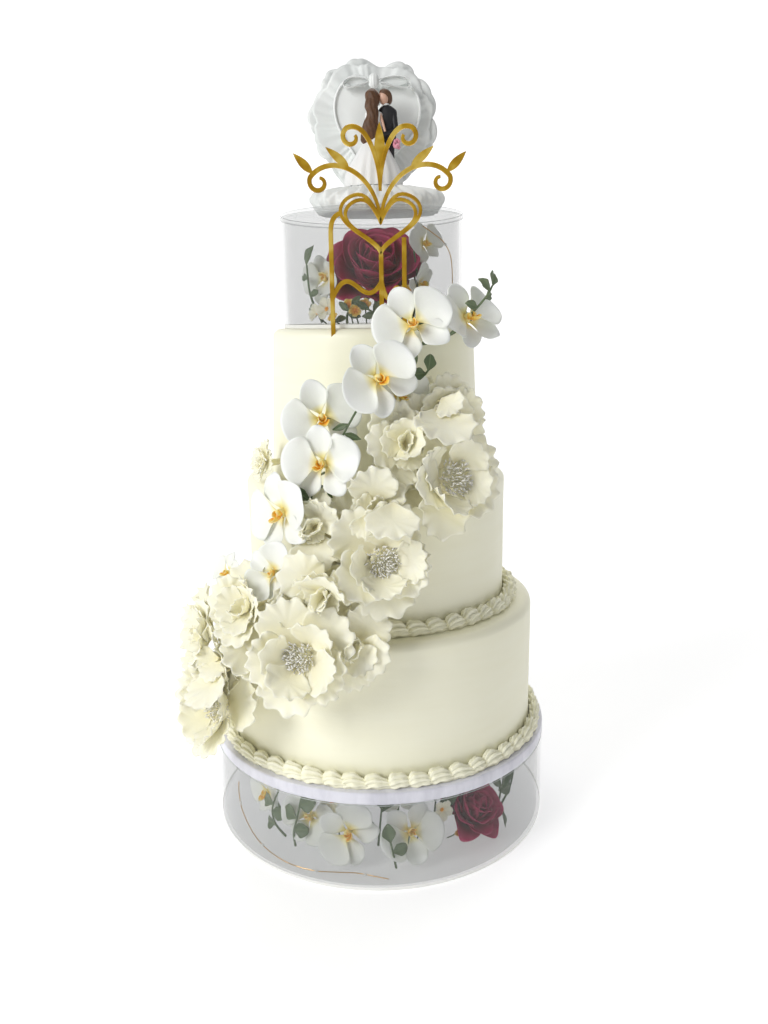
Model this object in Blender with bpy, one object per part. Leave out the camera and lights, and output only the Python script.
"""Tiered wedding cake: three buttercream tiers on a board, between two clear tiers filled with flowers, with a
cascade of sugar peonies and orchids down the front, a heart topper with a couple and a gold ornament.

Units are metres and +Z is up. The origin is the centre of the underside, and -Y is the front.
An azimuth is in degrees about +Z, counted from the front towards +X."""

import math
import random

import bmesh
import bpy
from mathutils import Matrix, Vector
from mathutils.bvhtree import BVHTree

GAP = 0.0003

# Clear tiers: cast acrylic drums with a base plate, 12 and 6 inches across.
LOWER_R = 0.1524
LOWER_H = 0.0762
UPPER_R = 0.0762
UPPER_H = 0.0880
WALL = 0.003
PLATE = 0.003

# The board and the buttercream tiers, 11, 9 and 7 inches across.
BOARD_R = 0.1524
BOARD_T = 0.0108
TIER_R = (0.1397, 0.1143, 0.0915)
TOP_TIER_TOP_R = 0.0865
TIER_H = (0.1170, 0.1120, 0.1240)
SHOULDER_R = 0.007
TIER_SIDES = 32

BOARD_Z = LOWER_H + GAP
TIER_Z = (
    BOARD_Z + BOARD_T + GAP,
    BOARD_Z + BOARD_T + TIER_H[0] + 2 * GAP,
    BOARD_Z + BOARD_T + TIER_H[0] + TIER_H[1] + 3 * GAP,
)
CAKE_TOP = TIER_Z[2] + TIER_H[2]
UPPER_Z = CAKE_TOP + GAP
LID_Z = UPPER_Z + UPPER_H + GAP
LID_TOP = LID_Z + PLATE

# Piped shells round the foot of a tier: their number, how far they stand out and how high they are.
LOW_SHELLS = 52
LOW_SHELL_OUT = 0.0105
LOW_SHELL_HIGH = 0.0150
MIDDLE_SHELLS = 44
MIDDLE_SHELL_OUT = 0.0130
MIDDLE_SHELL_HIGH = 0.0150
SHELL_SWELL = (1.0, 0.55)

# How far a petal keeps from what is already placed, and how thick petals and leaves are.
PETAL_GAP = 0.0005
PETAL_T = 0.0018
SEPAL_T = 0.0016
LEAF_T = 0.0014

# The gold ornament: a flat cut plate on three stakes, just in front of the upper clear tier.
ORNAMENT_X = 0.0067
ORNAMENT_Y = -0.0785
ORNAMENT_T = 0.0030
STROKE = 0.0035
HEART_STROKE = 0.0026
HEART_Z = 0.5180
HEART_HALF_W = 0.0300
HEART_HALF_H = 0.0215
STAKES_X = (-0.0377, 0.0, 0.0175)
STAKE_FOOT_Z = CAKE_TOP - 0.0140

# The topper, from front to back: the couple, the bow, the heart panel and the ruffle, on a gathered pouf.
POUF_TOP = LID_TOP + GAP + 0.0205
POUF_HALF = (0.0530, 0.0360)
POUF_X = 0.006
RUFFLE_CENTRE = (0.0025, 0.6060)
RUFFLE_R = 0.0545
RUFFLE_Y = (0.0152, 0.0222)
RUFFLE_WAVES = 13
CLEFT_AT = 86
PANEL_CENTRE = (0.0035, 0.5985)
PANEL_HALF = (0.0360, 0.0430)
PANEL_Y = (0.0090, 0.0136)
PANEL_ROLL = -8
BOW_CENTRE = (0.0035, 0.0052, 0.6400)

COLOURS = {
    "buttercream": (0.86, 0.83, 0.70, 1.0),
    "sugar": (0.88, 0.86, 0.74, 1.0),
    "orchid": (0.90, 0.90, 0.87, 1.0),
    "leaf": (0.10, 0.17, 0.08, 1.0),
    "rose": (0.27, 0.02, 0.06, 1.0),
    "acrylic": (0.92, 0.94, 0.95, 0.25),
    "board": (0.80, 0.80, 0.86, 1.0),
    "gold": (0.60, 0.42, 0.10, 1.0),
    "porcelain": (0.85, 0.86, 0.86, 1.0),
    "wire": (0.55, 0.33, 0.15, 1.0),
}
METALS = ("gold", "wire")
ROUGHNESS = {"acrylic": 0.05, "gold": 0.25, "board": 0.35, "wire": 0.3}


def clear_scene():
    for obj in list(bpy.data.objects):
        bpy.data.objects.remove(obj, do_unlink=True)


def material(name):
    made = bpy.data.materials.get(name)
    if made:
        return made
    made = bpy.data.materials.new(name)
    made.use_nodes = True
    shader = made.node_tree.nodes["Principled BSDF"]
    shader.inputs["Base Color"].default_value = COLOURS[name]
    shader.inputs["Roughness"].default_value = ROUGHNESS.get(name, 0.5)
    shader.inputs["Metallic"].default_value = 1.0 if name in METALS else 0.0
    shader.inputs["Alpha"].default_value = COLOURS[name][3]
    return made


def add_mesh(name, points, faces, finish, smooth=True):
    """One object from points and faces, with its normals turned outwards."""
    mesh = bpy.data.meshes.new(name)
    mesh.from_pydata([tuple(p) for p in points], [], faces)
    work = bmesh.new()
    work.from_mesh(mesh)
    bmesh.ops.recalc_face_normals(work, faces=work.faces)
    work.to_mesh(mesh)
    work.free()
    if smooth:
        mesh.shade_smooth()
        mesh.set_sharp_from_angle(angle=math.radians(40))
    obj = bpy.data.objects.new(name, mesh)
    obj.data.materials.append(material(finish))
    bpy.context.scene.collection.objects.link(obj)
    return obj


def turned(name, profile, finish, sides=TIER_SIDES):
    """A profile of (radius, height) points, spun about Z into a closed solid."""
    work = bmesh.new()
    points = [work.verts.new((r, 0.0, z)) for r, z in profile]
    edges = [work.edges.new(pair) for pair in zip(points, points[1:])]
    if profile[0][0] > 0:
        edges.append(work.edges.new((points[-1], points[0])))
    bmesh.ops.spin(
        work, geom=points + edges, axis=(0, 0, 1), cent=(0, 0, 0), steps=sides, angle=2 * math.pi,
        use_merge=True,
    )
    bmesh.ops.remove_doubles(work, verts=work.verts, dist=1e-6)
    bmesh.ops.recalc_face_normals(work, faces=work.faces)
    mesh = bpy.data.meshes.new(name)
    work.to_mesh(mesh)
    work.free()
    mesh.shade_smooth()
    mesh.set_sharp_from_angle(angle=math.radians(40))
    obj = bpy.data.objects.new(name, mesh)
    obj.data.materials.append(material(finish))
    bpy.context.scene.collection.objects.link(obj)
    return obj


def tree_of(obj):
    mesh = obj.data
    return BVHTree.FromPolygons([v.co for v in mesh.vertices], [p.vertices[:] for p in mesh.polygons])


class Clearance:
    """What is already placed, so that a new petal can be tried against it."""

    def __init__(self):
        self.trees = []

    def add(self, obj):
        self.trees.append(tree_of(obj))
        return obj

    def free(self, points, faces):
        tried = BVHTree.FromPolygons(points, faces)
        return not any(tried.overlap(tree) for tree in self.trees)


# Tiers, board and clear drums


def tier(number):
    low = TIER_R[number]
    high = TOP_TIER_TOP_R if number == 2 else low
    bottom = TIER_Z[number]
    top = bottom + TIER_H[number]
    profile = [(0.0, bottom), (low, bottom)]
    for step in range(4):
        turn = math.radians(30 * step)
        profile.append(
            (high - SHOULDER_R * (1 - math.cos(turn)), top - SHOULDER_R * (1 - math.sin(turn)))
        )
    profile.append((0.0, top))
    return turned(f"tier_{number + 1}", profile, "buttercream")


def board():
    edge = 0.0012
    top = BOARD_Z + BOARD_T
    profile = [(0.0, BOARD_Z), (BOARD_R, BOARD_Z), (BOARD_R, top - edge), (BOARD_R - edge, top), (0.0, top)]
    return turned("cake_board", profile, "board")


def clear_drum(name, radius, bottom, height):
    inner = radius - WALL
    floor = bottom + PLATE
    top = bottom + height
    profile = [(0.0, bottom), (radius, bottom), (radius, top), (inner, top), (inner, floor), (0.0, floor)]
    return turned(name, profile, "acrylic")


def clear_lid():
    profile = [(0.0, LID_Z), (UPPER_R, LID_Z), (UPPER_R, LID_TOP), (0.0, LID_TOP)]
    return turned("upper_clear_lid", profile, "acrylic")


def shell_border(name, number, shells, out, high):
    """Piped shells in the corner at a tier's foot, as one ring whose section swells and shrinks."""
    rows = []
    inner = TIER_R[number] + GAP
    foot = TIER_Z[number]
    steps = shells * len(SHELL_SWELL)
    for step in range(steps):
        turn = 2 * math.pi * step / steps
        swell = SHELL_SWELL[step % len(SHELL_SWELL)]
        section = [
            (inner, foot),
            (inner + out * swell, foot),
            (inner, foot + high * swell),
        ]
        rows.append([Vector((r * math.sin(turn), -r * math.cos(turn), z)) for r, z in section])
    count = len(rows[0])
    points = [p for row in rows for p in row]
    faces = []
    for i in range(len(rows)):
        j = (i + 1) % len(rows)
        for k in range(count):
            m = (k + 1) % count
            faces.append((i * count + k, j * count + k, j * count + m, i * count + m))
    return add_mesh(name, points, faces, "buttercream")


# Petals and leaves


def smooth_step(x):
    x = max(0.0, min(1.0, x))
    return x * x * (3 - 2 * x)


def thin_solid(across, along, shape, thickness):
    """A thin closed solid over a square grid bent into a disc. shape maps a disc point to a place.
    Both faces meet in one sharp rim and are split into triangles alike."""
    points, top, under = [], {}, {}
    for j in range(along + 1):
        for i in range(across + 1):
            s, t = 2 * i / across - 1, 2 * j / along - 1
            place = shape(s * math.sqrt(1 - t * t / 2), t * math.sqrt(1 - s * s / 2))
            rim = i in (0, across) or j in (0, along)
            lift = Vector((0, 0, 0 if rim else thickness / 2))
            top[i, j] = len(points)
            points.append(place + lift)
            under[i, j] = top[i, j] if rim else len(points)
            if not rim:
                points.append(place - lift)
    faces = []
    for j in range(along):
        for i in range(across):
            square = [(i, j), (i + 1, j), (i + 1, j + 1), (i, j + 1)]
            far = max(range(4), key=lambda k: abs(2 * square[k][0] - across) + abs(2 * square[k][1] - along))
            a, b, c, d = square[far:] + square[:far]
            for tri in ((a, b, c), (a, c, d)):
                faces.append(tuple(top[k] for k in tri))
                faces.append(tuple(under[k] for k in reversed(tri)))
    return points, faces


def petal_shape(length, width, neck, cup, curl, ruffle=0.0, waves=6, phase=0.0, point=0.0):
    """Maps the unit disc to a petal that starts at the origin and runs along +Y, its inner face up."""

    def shape(x, y):
        u = (y + 1) / 2
        half = width / 2 * (neck + (1 - neck) * smooth_step(u / 0.55)) * (1 - point * u**3)
        rim = min(1.0, math.hypot(x, y))
        wave = ruffle * rim**4 * smooth_step(u / 0.45) * math.sin(waves * math.atan2(x, y) + phase)
        return Vector((x * half, u * length, cup * width * x * x * 0.5 + curl * length * u * u + wave))

    return shape


def placed(part, matrix):
    points, faces = part
    return [matrix @ p for p in points], faces


def flower_matrix(centre, azimuth, elevation, roll):
    """Puts a flower at centre: local +Z faces that way, and local +Y is the flower's top."""
    a, e = math.radians(azimuth), math.radians(elevation)
    out = Vector((math.sin(a) * math.cos(e), -math.cos(a) * math.cos(e), math.sin(e)))
    side = Vector((math.cos(a), math.sin(a), 0))
    turn = Matrix((side, out.cross(side), out)).transposed().to_4x4()
    return Matrix.Translation(centre) @ turn @ Matrix.Rotation(math.radians(roll), 4, "Z")


def petal_matrix(around, tilt, start, lift):
    """Turns a petal about the flower's axis, starts it at start from there and tilts it up from the plane."""
    return (
        Matrix.Rotation(math.radians(around), 4, "Z")
        @ Matrix.Translation((0, start, lift))
        @ Matrix.Rotation(math.radians(tilt), 4, "X")
    )


def spot(azimuth, height, radius):
    a = math.radians(azimuth)
    return Vector((radius * math.sin(a), -radius * math.cos(a), height))


def peg(start, end, start_r, end_r, sides=6):
    """A tapered pick or stalk between two points, closed at both ends."""
    axis = (end - start).normalized()
    side = axis.orthogonal().normalized()
    other = axis.cross(side)
    points = []
    for centre, radius in ((start, start_r), (end, end_r)):
        for k in range(sides):
            turn = 2 * math.pi * k / sides
            points.append(centre + radius * (math.cos(turn) * side + math.sin(turn) * other))
    faces = [tuple(reversed(range(sides))), tuple(range(sides, 2 * sides))]
    for k in range(sides):
        m = (k + 1) % sides
        faces.append((k, m, sides + m, sides + k))
    return points, faces


def lump(matrix, radius, height, sides=5):
    """A low dome for a flower's heart, with a blunt back that its petals start in."""
    rings = ((1.0, 0.0), (0.72, 0.65))
    points = [matrix @ Vector((0, 0, -0.45 * height))]
    for share, level in rings:
        for k in range(sides):
            turn = 2 * math.pi * k / sides
            x, y = radius * share * math.cos(turn), radius * share * math.sin(turn)
            points.append(matrix @ Vector((x, y, height * level)))
    points.append(matrix @ Vector((0, 0, height)))
    faces = []
    for k in range(sides):
        m = (k + 1) % sides
        faces.append((0, 1 + m, 1 + k))
        for ring in range(len(rings) - 1):
            low, high = 1 + ring * sides, 1 + (ring + 1) * sides
            faces.append((low + k, low + m, high + m, high + k))
        last = 1 + (len(rings) - 1) * sides
        faces.append((last + k, last + m, len(points) - 1))
    return points, faces


def lofted(sections, sides=6):
    """A closed body through level ellipses, each (x, y, z, half width, half depth)."""
    points, faces = [], [tuple(reversed(range(sides)))]
    for x, y, z, half_x, half_y in sections:
        for k in range(sides):
            turn = 2 * math.pi * k / sides
            points.append(Vector((x + half_x * math.cos(turn), y + half_y * math.sin(turn), z)))
    for ring in range(len(sections) - 1):
        low, high = ring * sides, (ring + 1) * sides
        for k in range(sides):
            m = (k + 1) % sides
            faces.append((low + k, low + m, high + m, high + k))
    last = (len(sections) - 1) * sides
    faces.append(tuple(last + k for k in range(sides)))
    return points, faces


def outer_shell(mesh):
    """Keeps the largest closed shell: what a union seals inside is filled, and a loose scrap is dropped."""
    work = bmesh.new()
    work.from_mesh(mesh)
    bmesh.ops.remove_doubles(work, verts=work.verts, dist=2e-6)
    bmesh.ops.dissolve_degenerate(work, edges=work.edges, dist=2e-6)
    bmesh.ops.triangulate(work, faces=work.faces)
    unseen = set(work.faces)
    shells = []
    while unseen:
        stack, shell = [unseen.pop()], []
        while stack:
            face = stack.pop()
            shell.append(face)
            for edge in face.edges:
                if len(edge.link_faces) == 2:
                    for other in edge.link_faces:
                        if other in unseen:
                            unseen.remove(other)
                            stack.append(other)
        shells.append(shell)
    shells.sort(key=lambda shell: -sum(face.calc_area() for face in shell))
    bmesh.ops.delete(work, geom=[face for shell in shells[1:] for face in shell], context="FACES")
    bmesh.ops.recalc_face_normals(work, faces=work.faces)
    work.to_mesh(mesh)
    work.free()


def is_closed(mesh):
    uses = {}
    for polygon in mesh.polygons:
        for edge in polygon.edge_keys:
            uses[edge] = uses.get(edge, 0) + 1
    return bool(uses) and all(count == 2 for count in uses.values())


def joined(base, group, solver):
    union = base.modifiers.new("union", "BOOLEAN")
    union.operation = "UNION"
    union.operand_type = "COLLECTION"
    union.collection = group
    union.solver = solver
    bpy.context.view_layer.update()
    graph = bpy.context.evaluated_depsgraph_get()
    mesh = bpy.data.meshes.new_from_object(base.evaluated_get(graph))
    base.modifiers.clear()
    outer_shell(mesh)
    return mesh


def fused(name, parts, finish):
    """One solid from several closed parts, by one Boolean union on a collection of them."""
    base = add_mesh(name, *parts[0], finish, smooth=False)
    group = bpy.data.collections.new(name + "_parts")
    bpy.context.scene.collection.children.link(group)
    for points, faces in parts[1:]:
        piece = add_mesh("piece", points, faces, finish, smooth=False)
        bpy.context.scene.collection.objects.unlink(piece)
        group.objects.link(piece)
    mesh = joined(base, group, "EXACT")
    if not is_closed(mesh):
        mesh = joined(base, group, "MANIFOLD")
    base.data = mesh
    for piece in list(group.objects):
        bpy.data.objects.remove(piece, do_unlink=True)
    bpy.data.collections.remove(group)
    mesh.shade_smooth()
    mesh.set_sharp_from_angle(angle=math.radians(40))
    return base


FIT_TILTS = (0, -9, 9, 18, 28, 40)
FIT_TURNS = (0, 11, -11)
FIT_SIZES = (1.0, 0.9, 0.8, 0.68, 0.56, 0.44)


def fitted_petal(clearance, frame, size, around, tilt, start, lift, grid, thickness, **form):
    """A petal clear of what is placed: tilted or turned aside, then made smaller, or else skipped."""
    length, width = size
    for scale in FIT_SIZES:
        shape = petal_shape(length * scale, width * scale, **form)
        guard = petal_shape(length * scale + PETAL_GAP, width * scale + 2 * PETAL_GAP, **form)
        guarded = thin_solid(*grid, guard, thickness + 2 * PETAL_GAP)
        for more in FIT_TILTS:
            for aside in FIT_TURNS:
                matrix = frame @ petal_matrix(around + aside, tilt + more, start, lift)
                if clearance.free(*placed(guarded, matrix)):
                    return placed(thin_solid(*grid, shape, thickness), matrix)
    return None


def fitted_peg(clearance, throat, foot, throat_r, foot_r):
    """A flower's pick from its throat towards its foot, as long as stays clear of what is placed."""
    for share in (1.0, 0.8, 0.6, 0.45, 0.3, 0.2):
        end = throat.lerp(foot, share)
        if clearance.free(*peg(throat, end, throat_r + PETAL_GAP, foot_r + PETAL_GAP)):
            return peg(throat, end, throat_r, foot_r)
    return None


# Orchids: a top sepal, two wide petals, two lower sepals, a lip and a throat.

# name: azimuth, height, radius of the throat; azimuth and elevation it faces; roll; span
CASCADE_ORCHIDS = {
    "orchid_1": ((41, 0.4470, 0.1090), (34, 30), 15, 0.060),
    "orchid_2": ((15, 0.4440, 0.1130), (-8, 18), 28, 0.062),
    "orchid_3": ((1.3, 0.4060, 0.1210), (14, 8), 40, 0.062),
    "orchid_4": ((10, 0.3935, 0.1060), (32, 2), -20, 0.052),
    "orchid_5": ((-19.3, 0.3770, 0.1200), (6, 4), 20, 0.062),
    "orchid_6": ((-17.3, 0.3440, 0.1310), (-20, 12), 5, 0.062),
    "orchid_7": ((-30.0, 0.3060, 0.1400), (-44, 6), 20, 0.066),
    "orchid_8": ((-31.5, 0.2610, 0.1500), (-30, 20), 60, 0.050),
    "orchid_9": ((-53.0, 0.2500, 0.1500), (-50, 25), 0, 0.036),
}
# The same inside the clear tiers, where the foot stands on the base plate.
LOWER_ORCHIDS = {
    "lower_orchid_1": ((-56.0, 0.0400, 0.1200), (-75, 0), 10, 0.050),
    "lower_orchid_2": ((-31.0, 0.0360, 0.1180), (-22, 12), 150, 0.052),
    "lower_orchid_3": ((-13.5, 0.0300, 0.1200), (-10, 18), 60, 0.056),
    "lower_orchid_4": ((11.5, 0.0300, 0.1200), (12, 20), 190, 0.056),
    "lower_orchid_5": ((10.0, 0.0500, 0.0900), (10, 0), 0, 0.044),
    "lower_orchid_6": ((125.0, 0.0360, 0.1150), (125, 15), 30, 0.056),
}
UPPER_ORCHIDS = {
    "upper_orchid_1": ((-51.0, UPPER_Z + 0.0390, 0.0480), (-32, 6), 170, 0.044),
    "upper_orchid_2": ((60.0, UPPER_Z + 0.0660, 0.0480), (38, 12), 20, 0.036),
    "upper_orchid_3": ((46.0, UPPER_Z + 0.0320, 0.0500), (60, 10), 100, 0.040),
}
ORCHID_TILT = 12


def orchid(name, clearance, throat_at, faces_to, roll, span, foot):
    throat = spot(*throat_at)
    frame = flower_matrix(throat, *faces_to, roll)
    half = span / 2
    parts = [lump(frame, half * 0.20, half * 0.30, 4)]
    plan = (
        (0, 0.88, 0.68, 0.0),
        (82, 0.92, 1.16, 0.0010),
        (-82, 0.92, 1.16, 0.0010),
        (142, 0.86, 0.64, -0.0008),
        (-142, 0.86, 0.64, -0.0008),
    )
    for around, long, wide, lift in plan:
        petal = fitted_petal(
            clearance, frame, (half * long, half * wide), around, ORCHID_TILT, half * 0.13, lift,
            (2, 2), SEPAL_T, neck=0.16, cup=0.22, curl=-0.10,
        )
        if petal:
            parts.append(petal)
    lip = petal_shape(half * 0.40, half * 0.34, neck=0.5, cup=0.9, curl=0.5)
    parts.append(
        placed(thin_solid(2, 2, lip, 0.0022), frame @ petal_matrix(180, 42, half * 0.10, half * 0.12))
    )
    stalk = fitted_peg(clearance, frame @ Vector((0, 0, -0.02 * half)), foot, half * 0.11, 0.0014)
    if stalk:
        parts.append(stalk)
    return fused(name, parts, "orchid")


# Sugar peonies: a dome of stamens and ruffled petals. Each is
# name: azimuth, height, radius of the heart; azimuth and elevation it faces; roll; petal length; petals;
# dome radius
PEONIES = {
    "peony_1": ((24.8, 0.3290, 0.1270), (30, 14), 10, 0.038, 5, 0.0150),
    "peony_2": ((0.8, 0.2750, 0.1440), (8, 8), 40, 0.038, 5, 0.0120),
    "peony_3": ((-20.4, 0.2040, 0.1640), (-8, 6), 20, 0.040, 5, 0.0120),
    "peony_4": ((-48.8, 0.1450, 0.1700), (-46, 14), 0, 0.040, 5, 0.0150),
    "peony_5": ((10.6, 0.3560, 0.1170), (4, 14), 30, 0.032, 6, 0.0060),
    "peony_6": ((-19.3, 0.2970, 0.1400), (-12, 10), 15, 0.034, 6, 0.0060),
    "peony_7": ((-14.6, 0.2500, 0.1540), (-16, 0), 50, 0.036, 6, 0.0060),
    "peony_8": ((-60.0, 0.1950, 0.1600), (-62, 10), 25, 0.036, 6, 0.0070),
    "peony_9": ((31.5, 0.3720, 0.1020), (24, 4), 0, 0.032, 6, 0.0060),
    "peony_10": ((-0.5, 0.3100, 0.1330), (0, 20), 10, 0.032, 6, 0.0060),
    "peony_11": ((-8.0, 0.2117, 0.1540), (6, 0), 35, 0.032, 5, 0.0060),
    "peony_12": ((-39.5, 0.2300, 0.1560), (-36, 18), 5, 0.034, 6, 0.0070),
}

# A dome below this size has narrower petals round it.
SMALL_DOME = 0.010


def peony(name, clearance, heart_at, faces_to, roll, length, count, dome_r, foot):
    heart = spot(*heart_at)
    frame = flower_matrix(heart, *faces_to, roll)
    rolls = random.Random(name)
    grid = (3, 3) if dome_r > SMALL_DOME else (2, 3)
    parts = [lump(frame, dome_r, dome_r * 0.9)]
    for k in range(count):
        layer = k % 2
        size = (length * (1.0 - 0.12 * layer), length * 1.12)
        around = 360 * k / count + rolls.uniform(-9, 9)
        tilt = 14 + 22 * layer + rolls.uniform(-5, 5)
        lift = 0.0014 * layer - 0.001
        petal = fitted_petal(
            clearance, frame, size, around, tilt, dome_r * 0.70, lift, grid, PETAL_T,
            neck=0.24, cup=0.30, curl=-0.14, ruffle=0.0030, waves=6, phase=math.pi / 2,
        )
        if petal:
            parts.append(petal)
    throat = frame @ Vector((0, 0, -0.1 * dome_r))
    stalk = fitted_peg(clearance, throat, foot, max(0.004, dome_r * 0.5), 0.0025)
    if stalk:
        parts.append(stalk)
    return fused(name, parts, "sugar")


def side_radius(height):
    """The radius of the tier beside that height."""
    if height > TIER_Z[2]:
        share = (height - TIER_Z[2]) / TIER_H[2]
        return TIER_R[2] + (TOP_TIER_TOP_R - TIER_R[2]) * min(1.0, share)
    return TIER_R[1] if height > TIER_Z[1] else TIER_R[0]


def foot_on_cake(at):
    azimuth, height, _radius = at
    level = min(height, CAKE_TOP - SHOULDER_R)
    return spot(azimuth, level, side_radius(level) + 0.0012)


def foot_on_plate(at, plate):
    azimuth, _height, radius = at
    return spot(azimuth, plate + PLATE + 0.0012, radius * 0.86)


# Roses


def rose(name, clearance, at, faces_to, roll, radius, foot):
    """A closed bloom: three rings of cupped petals round a bud."""
    frame = flower_matrix(spot(*at), *faces_to, roll)
    rolls = random.Random(name)
    parts = [lump(frame, radius * 0.52, radius * 1.05)]
    for ring, (count, share, tilt) in enumerate(((3, 0.85, 72), (4, 1.12, 50))):
        for k in range(count):
            around = 360 * k / count + 25 * ring + rolls.uniform(-7, 7)
            lean = tilt + rolls.uniform(-4, 4)
            start = radius * (0.30 + 0.12 * ring)
            petal = fitted_petal(
                clearance, frame, (radius * share, radius * 1.15), around, lean, start, -radius * 0.12 * ring,
                (2, 2), PETAL_T, neck=0.40, cup=0.55, curl=0.10,
            )
            if petal:
                parts.append(petal)
    stalk = fitted_peg(clearance, frame.translation.copy(), foot, 0.004, 0.002)
    if stalk:
        parts.append(stalk)
    return fused(name, parts, "rose")


# Foliage


def free_stalk(clearance, route, stalk_r):
    """The stalk's pieces as far out as they are clear. The whole stalk may shift a little to get further."""
    best, best_path = [], []
    for rise in (0, 0.003, -0.003, 0.006, -0.006, 0.010, -0.010):
        for out in (0, 0.003, 0.006, -0.003):
            path = [spot(azimuth, height + rise, radius + out) for azimuth, height, radius in route]
            pieces = []
            for start, end in zip(path, path[1:]):
                over = (end - start).normalized() * stalk_r * 0.6
                guard_r = stalk_r + PETAL_GAP
                if not clearance.free(*peg(start - over, end + over, guard_r, guard_r, 5)):
                    break
                pieces.append(peg(start - over, end + over, stalk_r, stalk_r * 0.92, 5))
            if len(pieces) > len(best):
                best, best_path = pieces, path
            if len(best) == len(route) - 1:
                return best, best_path
    return best, best_path


def sprig(name, clearance, route, stalk_r, leaves, leaf_ratio, point):
    """A stalk along the route with thin wavy leaves on it. A leaf is
    (share of the route, azimuth, elevation, roll, length)."""
    parts, path = free_stalk(clearance, route, stalk_r)
    grown = len(parts)
    for share, azimuth, elevation, roll, length in leaves:
        along = min(share * (len(route) - 1), grown)
        k = min(int(along), grown - 1)
        root = path[k].lerp(path[k + 1], along - k)
        frame = flower_matrix(root, azimuth, elevation, roll)
        leaf = fitted_petal(
            clearance, frame, (length, length * leaf_ratio), 0, 6, -stalk_r, 0.0, (2, 2), LEAF_T,
            neck=0.24, cup=0.3, curl=-0.16, ruffle=0.0006, waves=3, point=point,
        )
        if leaf:
            parts.append(leaf)
    return fused(name, parts, "leaf")


# name: stalk as (azimuth, height, radius) points; leaves; width to length; how pointed they are
SPRIGS = {
    "sprig_1": (
        ((17, 0.4290, 0.0900), (22, 0.4290, 0.0960), (33, 0.4330, 0.0980), (46, 0.4420, 0.0960)),
        ((1.0, 55, 30, -55, 0.030), (0.93, 55, 35, -12, 0.027), (0.62, 40, 30, 10, 0.024),
         (0.18, 10, 20, 165, 0.026), (0.1, 0, 10, 75, 0.022)),
        0.46, 0.62,
    ),
    "sprig_2": (
        ((-4, 0.3860, 0.0895), (-8, 0.3780, 0.0960), (-13, 0.3620, 0.0980)),
        ((0.1, -10, 20, 20, 0.020), (1.0, -20, 10, 150, 0.020)),
        0.42, 0.62,
    ),
    "sprig_3": (
        ((-26, 0.3300, 0.0935), (-25, 0.3290, 0.1080), (-24, 0.3230, 0.1200)),
        ((1.0, -28, 20, 110, 0.022), (0.8, -20, 20, -120, 0.020)),
        0.42, 0.62,
    ),
    "lower_sprig_1": (
        ((-46, 0.0045, 0.1180), (-47, 0.0200, 0.1270), (-46, 0.0380, 0.1310), (-43, 0.0560, 0.1290)),
        ((1.0, -44, 20, 0, 0.016), (0.75, -50, 10, 80, 0.015), (0.6, -40, 10, -80, 0.015),
         (0.35, -52, 10, 100, 0.014)),
        0.86, 0.15,
    ),
    "lower_sprig_2": (
        ((57, 0.0045, 0.1120), (58, 0.0220, 0.1230), (57, 0.0400, 0.1270)),
        ((1.0, 60, 20, 30, 0.034), (0.85, 52, 15, -50, 0.032), (0.5, 66, 10, 95, 0.030)),
        0.50, 0.60,
    ),
    "upper_sprig_1": (
        ((-48, UPPER_Z + 0.0045, 0.0560), (-52, UPPER_Z + 0.0260, 0.0640), (-56, UPPER_Z + 0.0500, 0.0640)),
        ((1.0, -50, 15, -10, 0.017), (0.72, -56, 10, 75, 0.011), (0.5, -48, 10, -70, 0.011),
         (0.3, -58, 10, 95, 0.011)),
        0.62, 0.40,
    ),
    "upper_sprig_2": (
        ((52, UPPER_Z + 0.0045, 0.0380), (56, UPPER_Z + 0.0300, 0.0420), (57, UPPER_Z + 0.0500, 0.0400)),
        ((1.0, 40, 15, -30, 0.026), (0.8, 30, 15, 30, 0.028), (0.5, 66, 10, -80, 0.026)),
        0.50, 0.60,
    ),
}
STALK_R = 0.0011

ROSES = {
    "lower_rose_1": ((43, 0.0330, 0.1180), (40, 42), 0, 0.0200, 0.0),
    "lower_rose_2": ((-150, 0.0340, 0.1100), (-150, 40), 30, 0.0200, 0.0),
    "upper_rose": ((6, UPPER_Z + 0.0500, 0.0300), (2, 38), 10, 0.0270, UPPER_Z),
}

SMALL_FLOWER = ((-58, 0.3340, 0.1060), (-64, 12), 0, 0.017, 5, 0.0035)

# The fairy lights' wire in each clear tier, as (azimuth, height, radius) points along it.
WIRES = {
    "light_wire_lower": (
        ((-62, 0.0500, 0.1430), (-60, 0.0400, 0.1450), (-57, 0.0280, 0.1455), (-51, 0.0160, 0.1450),
         (-44, 0.0080, 0.1440), (-34, 0.0048, 0.1440), (-24, 0.0046, 0.1430), (-16, 0.0046, 0.1390),
         (-9, 0.0046, 0.1370), (-3, 0.0046, 0.1400), (2, 0.0046, 0.1440)),
        0.0
    ),
    "light_wire_upper": (
        ((72, 0.0050, 0.0640), (74, 0.0200, 0.0680), (73, 0.0400, 0.0690), (68, 0.0560, 0.0690),
         (58, 0.0660, 0.0680), (48, 0.0720, 0.0660), (42, 0.0780, 0.0600)),
        UPPER_Z
    ),
}
WIRE_R = 0.0005


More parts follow.
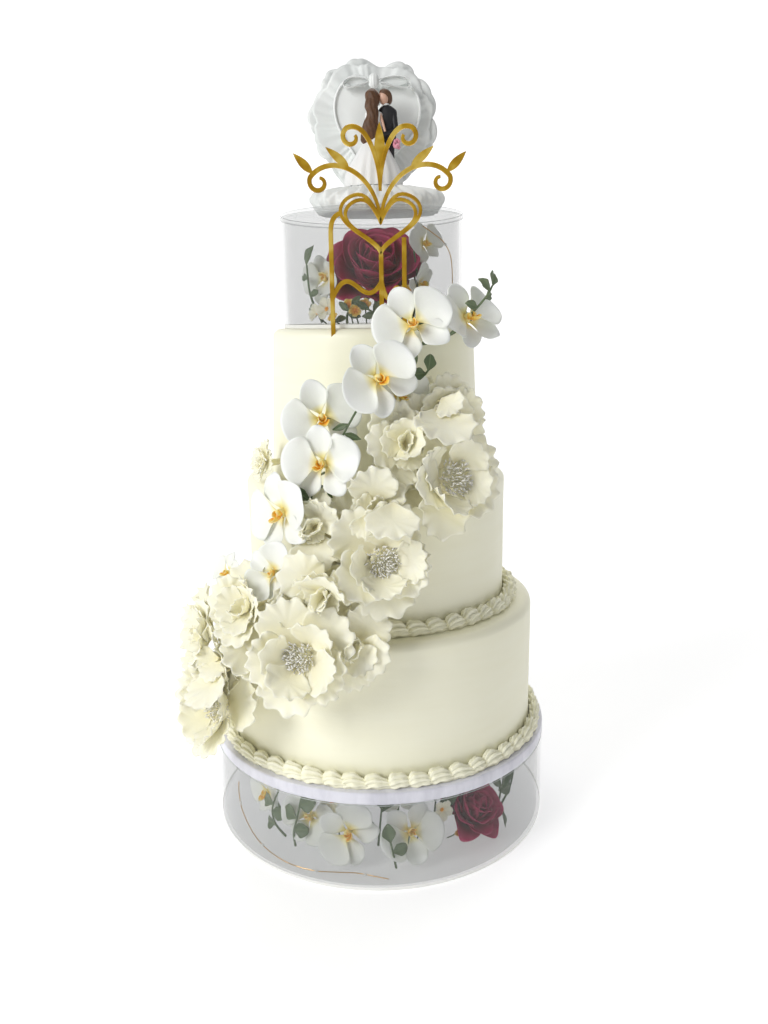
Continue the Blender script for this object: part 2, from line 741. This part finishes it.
def wire(name, route, base):
    """A thin square tube through the route's points."""
    path = [spot(azimuth, base + height, radius) for azimuth, height, radius in route]
    sides = 4
    points, faces = [], [tuple(reversed(range(sides)))]
    for k, centre in enumerate(path):
        along = (path[min(k + 1, len(path) - 1)] - path[max(k - 1, 0)]).normalized()
        outward = Vector((centre.x, centre.y, 0)).normalized()
        across = along.cross(outward).normalized()
        out = across.cross(along)
        for i in range(sides):
            turn = 2 * math.pi * i / sides
            points.append(centre + WIRE_R * (math.cos(turn) * across + math.sin(turn) * out))
    for k in range(len(path) - 1):
        for i in range(sides):
            m = (i + 1) % sides
            faces.append((k * sides + i, k * sides + m, (k + 1) * sides + m, (k + 1) * sides + i))
    last = (len(path) - 1) * sides
    faces.append(tuple(last + i for i in range(sides)))
    return add_mesh(name, points, faces, "wire")


# Gold ornament: a heart of two strands on stakes, with scrolls above it and between the stakes


def heart_point(turn, deeper=0.0):
    """A heart two wide and two high about the origin. It starts at its cleft, which deeper lowers."""
    x = math.sin(turn) ** 3
    z = 13 * math.cos(turn) - 5 * math.cos(2 * turn) - 2 * math.cos(3 * turn) - math.cos(4 * turn)
    z = (z + 2.52) / 14.48
    return x, z - deeper * math.exp(-((x / 0.28) ** 2)) * (1 if math.cos(turn) > 0 else 0)


def bezier(a, b, c, d, steps):
    """Points on a cubic curve, both ends included."""
    made = []
    for k in range(steps + 1):
        t = k / steps
        u = 1 - t
        shares = (u**3, 3 * u * u * t, 3 * u * t * t, t**3)
        made.append(tuple(sum(s * p[i] for s, p in zip(shares, (a, b, c, d))) for i in (0, 1)))
    return made


def curl(centre, start, end_r, turns, steps, hand):
    """A spiral from the point start into the centre. hand is 1 anticlockwise or -1 clockwise."""
    away = (start[0] - centre[0], start[1] - centre[1])
    first = math.atan2(away[1], away[0])
    radius = math.hypot(*away)
    made = []
    for k in range(steps + 1):
        t = k / steps
        r = radius + (end_r - radius) * t
        turn = first + hand * 2 * math.pi * turns * t
        made.append((centre[0] + r * math.cos(turn), centre[1] + r * math.sin(turn)))
    return made


def stroke(path, width, depth, closed=False):
    """A flat strip of that width along a path of (x, z) points in the ornament's plate."""
    count = len(path)
    points = []
    for k, (x, z) in enumerate(path):
        before = path[k - 1] if k or closed else path[0]
        after = path[(k + 1) % count] if k < count - 1 or closed else path[-1]
        way = Vector((after[0] - before[0], 0, after[1] - before[1])).normalized()
        side = Vector((-way.z, 0, way.x)) * width / 2
        centre = Vector((ORNAMENT_X + x, ORNAMENT_Y, z))
        deep = Vector((0, depth / 2, 0))
        points += [centre + side - deep, centre - side - deep, centre - side + deep, centre + side + deep]
    faces = []
    for k in range(count if closed else count - 1):
        here, there = 4 * k, 4 * ((k + 1) % count)
        for i in range(4):
            m = (i + 1) % 4
            faces.append((here + i, there + i, there + m, here + m))
    if not closed:
        faces.append((0, 1, 2, 3))
        faces.append(tuple(4 * count - 1 - i for i in range(4)))
    return points, faces


def leaf_plate(root, tip, width, depth):
    """A flat pointed leaf in the ornament's plate."""
    way = Vector((tip[0] - root[0], 0, tip[1] - root[1]))
    side = Vector((-way.z, 0, way.x)).normalized() * width / 2
    start = Vector((ORNAMENT_X + root[0], ORNAMENT_Y, root[1]))
    outline = [start, start + way * 0.35 + side, start + way * 0.7 + side * 0.75, start + way]
    outline += [start + way * 0.7 - side * 0.75, start + way * 0.35 - side]
    deep = Vector((0, depth / 2, 0))
    count = len(outline)
    points = [p - deep for p in outline] + [p + deep for p in outline]
    faces = [tuple(range(count)), tuple(reversed(range(count, 2 * count)))]
    faces += [(k, (k + 1) % count, count + (k + 1) % count, count + k) for k in range(count)]
    return points, faces


def ornament_strokes():
    """The ornament's strips as (path, closed), in metres from its centre line and from the floor."""
    top = HEART_Z + HEART_HALF_H
    strokes = []
    for share, lower, steps in ((1.0, 0.0, 18), (0.88, 0.0012, 14)):
        loop = []
        for k in range(steps):
            x, z = heart_point(2 * math.pi * k / steps, deeper=0.42)
            loop.append((x * HEART_HALF_W * share, HEART_Z - lower + z * HEART_HALF_H * share))
        strokes.append((loop, True))
    for x, reach in zip(STAKES_X, (-0.0060, -0.0218, -0.0098)):
        strokes.append(([(x, STAKE_FOOT_Z), (x, HEART_Z + reach)], False))
    left, _middle, right = STAKES_X
    strokes.append((bezier((left, 0.5115), (left, 0.5210), (-0.0350, 0.5250), (-0.0288, 0.5265), 3), False))
    for side, low, high in ((left, 0.4640, 0.4900), (right, 0.4560, 0.4880)):
        scroll = bezier((side, low), (side * 0.6, high + 0.008), (side * 0.4, low - 0.014), (0, 0.4760), 5)
        strokes.append((scroll, False))
    for hand in (1, -1):
        sweep = bezier((0, top - 0.0180), (hand * 0.004, top + 0.018), (hand * 0.038, top + 0.030),
                       (hand * 0.0520, top + 0.012), 6)
        hook = curl((hand * 0.0455, top + 0.0085), sweep[-1], 0.0030, 0.80, 5, -hand)
        strokes.append((sweep + hook[1:], False))
        rise = bezier((0, top + 0.002), (0, top + 0.026), (hand * 0.010, top + 0.052),
                      (hand * 0.024, top + 0.046), 4)
        hook = curl((hand * 0.0205, top + 0.0395), rise[-1], 0.0028, 0.75, 4, -hand)
        strokes.append((rise + hook[1:], False))
    return strokes


def ornament():
    """Each strip is a little thinner than the one before it, so that no two share a face's plane."""
    top = HEART_Z + HEART_HALF_H
    parts = []
    for number, (path, closed) in enumerate(ornament_strokes()):
        width = HEART_STROKE if closed else STROKE
        parts.append(stroke(path, width, ORNAMENT_T - 0.00006 * number, closed))
    for hand in (1, -1):
        outer_root, outer_tip = (hand * 0.0500, top + 0.0150), (hand * 0.0640, top + 0.0290)
        inner_root, inner_tip = (hand * 0.0230, top + 0.0190), (hand * 0.0400, top + 0.0330)
        parts.append(leaf_plate(outer_root, outer_tip, 0.0062, 0.0022))
        parts.append(leaf_plate(inner_root, inner_tip, 0.0060, 0.00215))
    parts.append(leaf_plate((0, top + 0.0180), (0, top + 0.0500), 0.0080, 0.0021))
    return fused("gold_ornament", parts, "gold")


def cut_stake_slots(top_tier):
    """Slots in the top tier that the ornament's stakes stand in, a little larger than the stakes."""
    for x in STAKES_X:
        half_x, half_y = STROKE / 2 + GAP, ORNAMENT_T / 2 + GAP
        low, high = STAKE_FOOT_Z - GAP, CAKE_TOP + 0.01
        centre = Vector((ORNAMENT_X + x, ORNAMENT_Y, 0))
        corners = [(-half_x, -half_y), (half_x, -half_y), (half_x, half_y), (-half_x, half_y)]
        points = [centre + Vector((cx, cy, z)) for z in (low, high) for cx, cy in corners]
        faces = [(3, 2, 1, 0), (4, 5, 6, 7)] + [(k, (k + 1) % 4, 4 + (k + 1) % 4, 4 + k) for k in range(4)]
        cutter = add_mesh("slot_cutter", points, faces, "gold", smooth=False)
        cut = top_tier.modifiers.new("slot", "BOOLEAN")
        cut.operation = "DIFFERENCE"
        cut.object = cutter
        bpy.context.view_layer.update()
        graph = bpy.context.evaluated_depsgraph_get()
        mesh = bpy.data.meshes.new_from_object(top_tier.evaluated_get(graph))
        top_tier.modifiers.clear()
        top_tier.data = mesh
        bpy.data.objects.remove(cutter, do_unlink=True)


# Topper


def slab(outline, front, back, name, finish):
    """An upright plate between two depths, from an outline of (x, z, wave) points. wave moves one back."""
    count = len(outline)
    middle = Vector((sum(p[0] for p in outline) / count, 0, sum(p[1] for p in outline) / count))
    points = [Vector((x, front + wave, z)) for x, z, wave in outline]
    points += [Vector((x, back + wave, z)) for x, z, wave in outline]
    points += [middle + Vector((0, front, 0)), middle + Vector((0, back, 0))]
    faces = []
    for k in range(count):
        m = (k + 1) % count
        faces += [(k, m, 2 * count), (count + m, count + k, 2 * count + 1), (m, k, count + k, count + m)]
    return add_mesh(name, points, faces, finish)


def topper_ruffle():
    """A round of gathered fabric with a cleft near its top and a flatter lower flank on each side."""
    steps = RUFFLE_WAVES * 3
    outline = []
    for k in range(steps):
        turn = 2 * math.pi * k / steps
        from_top = (math.degrees(turn) - CLEFT_AT + 180) % 360 - 180
        cleft = 0.010 * math.exp(-((from_top / 15) ** 2))
        flank = 0.006 * math.exp(-(((abs(from_top) - 128) / 30) ** 2))
        radius = RUFFLE_R - cleft - flank + 0.0022 * math.sin(RUFFLE_WAVES * turn)
        x = RUFFLE_CENTRE[0] + radius * math.cos(turn)
        z = RUFFLE_CENTRE[1] + radius * math.sin(turn)
        outline.append((x, max(z, POUF_TOP + GAP), 0.0011 * math.cos(RUFFLE_WAVES * turn)))
    return slab(outline, *RUFFLE_Y, "topper_ruffle", "porcelain")


def topper_panel():
    steps = 26
    roll = math.radians(PANEL_ROLL)
    outline = []
    for k in range(steps):
        x, z = heart_point(2 * math.pi * k / steps)
        x, z = x * PANEL_HALF[0], z * PANEL_HALF[1]
        x, z = x * math.cos(roll) - z * math.sin(roll), x * math.sin(roll) + z * math.cos(roll)
        outline.append((PANEL_CENTRE[0] + x, max(PANEL_CENTRE[1] + z, POUF_TOP + GAP), 0.0))
    return slab(outline, *PANEL_Y, "topper_heart", "porcelain")


def topper_pouf():
    """The gathered cushion under the topper: a scalloped oval, rounded to a flat top."""
    sides = 26
    low = LID_TOP + GAP
    rings = ((0.94, low), (1.0, low + 0.0080), (0.92, low + 0.0165), (0.74, POUF_TOP))
    points, faces = [], [tuple(reversed(range(sides)))]
    for share, z in rings:
        for k in range(sides):
            turn = 2 * math.pi * k / sides
            out = share * (1.035 if k % 2 else 0.965)
            x = POUF_X + POUF_HALF[0] * out * math.cos(turn)
            points.append(Vector((x, POUF_HALF[1] * out * math.sin(turn), z)))
    for ring in range(len(rings) - 1):
        start, end = ring * sides, (ring + 1) * sides
        for k in range(sides):
            m = (k + 1) % sides
            faces.append((start + k, start + m, end + m, end + k))
    last = (len(rings) - 1) * sides
    faces.append(tuple(last + k for k in range(sides)))
    return add_mesh("topper_pouf", points, faces, "porcelain")


def oval(centre, half, sides=6):
    """A closed egg shape of that half width, depth and height, upright."""
    x, y, z = centre
    rings = ((0.40, -0.92), (1.0, -0.25), (0.92, 0.42), (0.35, 0.94))
    return lofted([(x, y, z + half[2] * level, half[0] * out, half[1] * out) for out, level in rings], sides)


def topper_bow():
    x, y, z = BOW_CENTRE
    parts = [
        oval((x, y, z), (0.0050, 0.0034, 0.0052)),
        oval((x - 0.0125, y, z + 0.0010), (0.0115, 0.0030, 0.0068)),
        oval((x + 0.0160, y, z + 0.0018), (0.0150, 0.0030, 0.0075)),
    ]
    return fused("topper_bow", parts, "porcelain")


def couple():
    """The bride and groom as one moulded figure: gown, hair, heads, suit and arms."""
    foot = POUF_TOP + GAP
    bride_x, groom_x, y = 0.0022, 0.0137, -0.0100
    gown = [
        (bride_x, y, foot, 0.0235, 0.0160),
        (bride_x, y, 0.5660, 0.0215, 0.0145),
        (bride_x + 0.001, y, 0.5895, 0.0074, 0.0058),
        (bride_x + 0.001, y, 0.6090, 0.0074, 0.0046),
        (bride_x + 0.0005, y, 0.6140, 0.0030, 0.0028),
        (bride_x, y + 0.0005, 0.6190, 0.0024, 0.0024),
    ]
    hair = [
        (bride_x - 0.0020, y - 0.0036, 0.5885, 0.0068, 0.0026),
        (bride_x - 0.0012, y - 0.0042, 0.5990, 0.0060, 0.0034),
        (bride_x - 0.0006, y - 0.0036, 0.6110, 0.0046, 0.0040),
        (bride_x - 0.0002, y - 0.0010, 0.6210, 0.0054, 0.0054),
        (bride_x, y, 0.6270, 0.0032, 0.0032),
    ]
    suit = [
        (groom_x, -0.0050, foot, 0.0066, 0.0052),
        (groom_x + 0.0004, -0.0070, 0.6105, 0.0078, 0.0054),
        (groom_x - 0.0002, -0.0076, 0.6150, 0.0040, 0.0036),
        (groom_x - 0.0010, -0.0080, 0.6185, 0.0026, 0.0026),
    ]
    parts = [
        lofted(gown, 7),
        oval((bride_x + 0.0008, y + 0.0008, 0.6215), (0.0046, 0.0048, 0.0058)),
        lofted(hair),
        lofted(suit),
        oval((groom_x - 0.0020, -0.0085, 0.6215), (0.0050, 0.0052, 0.0060)),
        peg(Vector((groom_x + 0.0050, -0.0080, 0.6110)), Vector((groom_x + 0.0056, -0.0110, 0.5960)),
            0.0026, 0.0022, 5),
        peg(Vector((groom_x + 0.0058, -0.0105, 0.5965)), Vector((bride_x + 0.0040, -0.0150, 0.5920)),
            0.0021, 0.0017, 5),
        peg(Vector((bride_x + 0.0062, -0.0120, 0.6085)), Vector((bride_x + 0.0098, -0.0150, 0.5950)),
            0.0017, 0.0014, 5),
        oval((0.0215, -0.0115, 0.5860), (0.0040, 0.0036, 0.0052), 5),
        peg(Vector((0.0195, -0.0100, 0.5960)), Vector((0.0210, -0.0112, 0.5870)), 0.0018, 0.0016, 4),
    ]
    return fused("topper_couple", parts, "porcelain")


def main():
    clear_scene()
    clearance = Clearance()
    top_tier = tier(2)
    cut_stake_slots(top_tier)
    for obj in (
        clear_drum("lower_clear_tier", LOWER_R, 0.0, LOWER_H),
        board(),
        tier(0),
        tier(1),
        top_tier,
        clear_drum("upper_clear_tier", UPPER_R, UPPER_Z, UPPER_H),
        clear_lid(),
        shell_border("border_low", 0, LOW_SHELLS, LOW_SHELL_OUT, LOW_SHELL_HIGH),
        shell_border("border_middle", 1, MIDDLE_SHELLS, MIDDLE_SHELL_OUT, MIDDLE_SHELL_HIGH),
        ornament(),
        topper_pouf(),
        topper_ruffle(),
        topper_panel(),
        topper_bow(),
        couple(),
    ):
        clearance.add(obj)
    for name, (route, base) in WIRES.items():
        clearance.add(wire(name, route, base))
    for name, spec in CASCADE_ORCHIDS.items():
        clearance.add(orchid(name, clearance, *spec, foot_on_cake(spec[0])))
    for name, spec in PEONIES.items():
        clearance.add(peony(name, clearance, *spec, foot_on_cake(spec[0])))
    clearance.add(peony("small_flower", clearance, *SMALL_FLOWER, foot_on_cake(SMALL_FLOWER[0])))
    for name, (*spec, base) in ROSES.items():
        clearance.add(rose(name, clearance, *spec, foot_on_plate(spec[0], base)))
    for name, spec in LOWER_ORCHIDS.items():
        clearance.add(orchid(name, clearance, *spec, foot_on_plate(spec[0], 0.0)))
    for name, spec in UPPER_ORCHIDS.items():
        clearance.add(orchid(name, clearance, *spec, foot_on_plate(spec[0], UPPER_Z)))
    for name, (route, leaves, leaf_ratio, point) in SPRIGS.items():
        clearance.add(sprig(name, clearance, route, STALK_R, leaves, leaf_ratio, point))


main()
